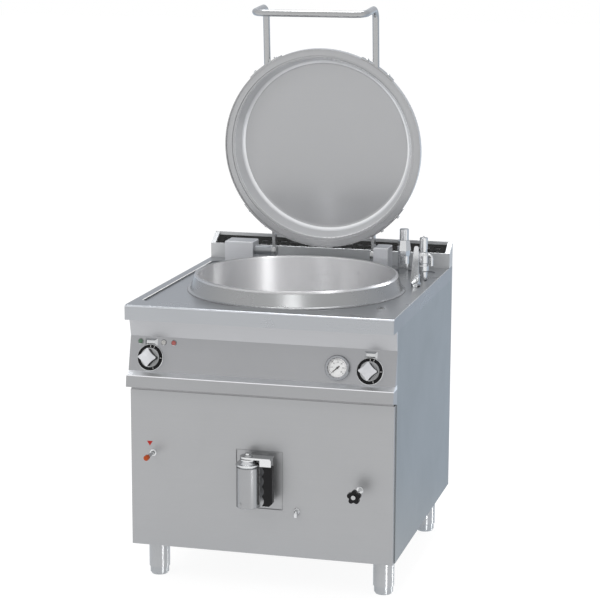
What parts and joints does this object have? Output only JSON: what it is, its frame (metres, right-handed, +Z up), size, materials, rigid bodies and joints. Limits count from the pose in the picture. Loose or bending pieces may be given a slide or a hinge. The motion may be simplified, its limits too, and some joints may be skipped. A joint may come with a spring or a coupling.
{
  "type": "steam jacketed kettle",
  "caption": "Stainless jacketed boiling kettle on a cabinet with legs, a raised hinged lid with a bent grip bar, drain tap, safety valves, dial knobs, pressure gauge and rear flue grille.",
  "frame": {"origin": "on the floor below the middle of the bounding box", "axes": "+X to the right seen from the front, +Y from front to back, +Z up"},
  "size_m": [0.8, 0.948, 1.6936],
  "materials": {
    "steel_top": "brushed",
    "steel_front": "brushed",
    "steel_side": "brushed",
    "steel_polished": "polished",
    "steel_frame": "mill",
    "steel_leg": "brushed",
    "steel_pan": "satin",
    "steel_lid": "satin",
    "grille_black": "matt",
    "insulation": "woven",
    "chrome_trim": "polished",
    "chrome_valve": "satin",
    "brass_valve": "turned",
    "plastic_black": "smooth",
    "plastic_dark": "moulded",
    "gauge_grey": "satin",
    "gauge_white": "matt",
    "needle_black": "matt",
    "gauge_glass": "clear",
    "lamp_lens": "clear",
    "foot_steel": "turned"
  },
  "bodies": {
    "cabinet": {"worktop": "steel_top", "spill_drain": "steel_polished", "rear_upstand": "steel_top", "vent_grille": "grille_black", "side_panels": "steel_side", "back_panel": "steel_side", "front_door": "steel_front", "tap_recess_plate": "steel_front", "control_fascia": "steel_front", "trim_rail": "steel_front", "chassis_frame": "steel_frame", "base_tray": "steel_frame", "leg_tubes": "steel_leg", "kettle_pan": "steel_pan", "pan_collar": "steel_top", "steam_jacket": "steel_frame", "jacket_insulation": "insulation", "heating_elements": "steel_frame", "pipework": "steel_frame", "hinge_boxes": "steel_top", "hinge_bearings": "steel_frame", "balance_spring": "steel_frame", "tap_body": "chrome_valve", "tap_bonnet": "chrome_valve", "level_valve": "brass_valve", "trim_rings": "chrome_trim", "reset_thermostat": "plastic_dark", "rotary_switches": "plastic_dark", "index_lugs": "chrome_trim", "gauge_case": "gauge_grey", "gauge_face": "gauge_white", "gauge_lens": "gauge_glass", "lamps": "lamp_lens", "safety_valve": "chrome_valve", "vent_valve": "chrome_valve", "fill_cock": "chrome_valve", "control_box": "steel_frame"},
    "lid": {"lid_shell": "steel_lid", "lid_liner": "steel_lid", "lid_handle": "steel_polished", "lid_arms": "steel_polished", "lid_bolts": "chrome_trim", "lid_pivots": "steel_polished"},
    "knob_left": {"knob_left": "plastic_black"},
    "knob_right": {"knob_right": "plastic_black"},
    "needle": {"gauge_needle": "needle_black"},
    "drain_lever": {"tap_plug": "chrome_valve", "tap_lever": "chrome_valve", "tap_grip": "plastic_black"},
    "star_knob": {"star_knob": "plastic_black", "star_spindle": "chrome_trim"},
    "reset_rod": {"reset_rod": "chrome_trim"},
    "fill_lever": {"cock_lever": "steel_polished"},
    "vent_cap": {"vent_cap": "chrome_valve"},
    "safety_cap": {"safety_cap": "chrome_valve"},
    "strainer": {"drain_strainer": "steel_polished"},
    "foot_front_left": {"foot_front_left": "foot_steel"},
    "foot_front_right": {"foot_front_right": "foot_steel"},
    "foot_rear_left": {"foot_rear_left": "foot_steel"},
    "foot_rear_right": {"foot_rear_right": "foot_steel"}
  },
  "joints": [
    {"name": "lid_hinge", "type": "hinge", "parent": "cabinet", "child": "lid", "pos_m": [0.0105, 0.313, 0.9045], "axis": [1, 0, 0], "range_deg": [0, 85.5]},
    {"name": "knob_left_turn", "type": "hinge", "parent": "cabinet", "child": "knob_left", "pos_m": [-0.335, -0.3885, 0.694], "axis": [0, 0.9687, -0.2483], "range_deg": [0, 270]},
    {"name": "knob_right_turn", "type": "hinge", "parent": "cabinet", "child": "knob_right", "pos_m": [0.324, -0.3885, 0.694], "axis": [0, 0.9687, -0.2483], "range_deg": [0, 270]},
    {"name": "gauge_needle_turn", "type": "hinge", "parent": "cabinet", "child": "needle", "pos_m": [0.229, -0.38748, 0.698], "axis": [0, 0.9687, -0.2483], "range_deg": [0, 264]},
    {"name": "drain_lever_turn", "type": "hinge", "parent": "cabinet", "child": "drain_lever", "pos_m": [-0.025, -0.431, 0.35], "axis": [0, 0, 1], "range_deg": [-90, 0]},
    {"name": "star_knob_turn", "type": "hinge", "parent": "cabinet", "child": "star_knob", "pos_m": [0.298, -0.391, 0.341], "axis": [0, 1, 0], "range_deg": [-540, 0]},
    {"name": "reset_push", "type": "slide", "parent": "cabinet", "child": "reset_rod", "axis": [0, 1, 0], "range_m": [0, 0.006], "stiffness_N_per_m": 500, "springref_m": -0.004},
    {"name": "fill_lever_turn", "type": "hinge", "parent": "cabinet", "child": "fill_lever", "pos_m": [0.355, 0.082, 0.8752], "axis": [0, 1, 0], "range_deg": [0, 90]},
    {"name": "vent_cap_turn", "type": "hinge", "parent": "cabinet", "child": "vent_cap", "pos_m": [0.3565, 0.21, 0.9497], "axis": [0, 0, 1], "range_deg": [0, 180]},
    {"name": "safety_cap_lift", "type": "slide", "parent": "cabinet", "child": "safety_cap", "axis": [0, 0, 1], "range_m": [0, 0.003], "stiffness_N_per_m": 2000, "springref_m": -0.002},
    {"name": "strainer_lift", "type": "slide", "parent": "cabinet", "child": "strainer", "axis": [0, 0, 1], "range_m": [0, 0.25]},
    {"name": "foot_front_left_turn", "type": "hinge", "parent": "cabinet", "child": "foot_front_left", "pos_m": [-0.3485, -0.284, 0], "axis": [0, 0, 1], "continuous": true},
    {"name": "foot_front_right_turn", "type": "hinge", "parent": "cabinet", "child": "foot_front_right", "pos_m": [0.3485, -0.284, 0], "axis": [0, 0, 1], "continuous": true},
    {"name": "foot_rear_left_turn", "type": "hinge", "parent": "cabinet", "child": "foot_rear_left", "pos_m": [-0.3485, 0.346, 0], "axis": [0, 0, 1], "continuous": true},
    {"name": "foot_rear_right_turn", "type": "hinge", "parent": "cabinet", "child": "foot_rear_right", "pos_m": [0.3485, 0.346, 0], "axis": [0, 0, 1], "continuous": true}
  ]
}
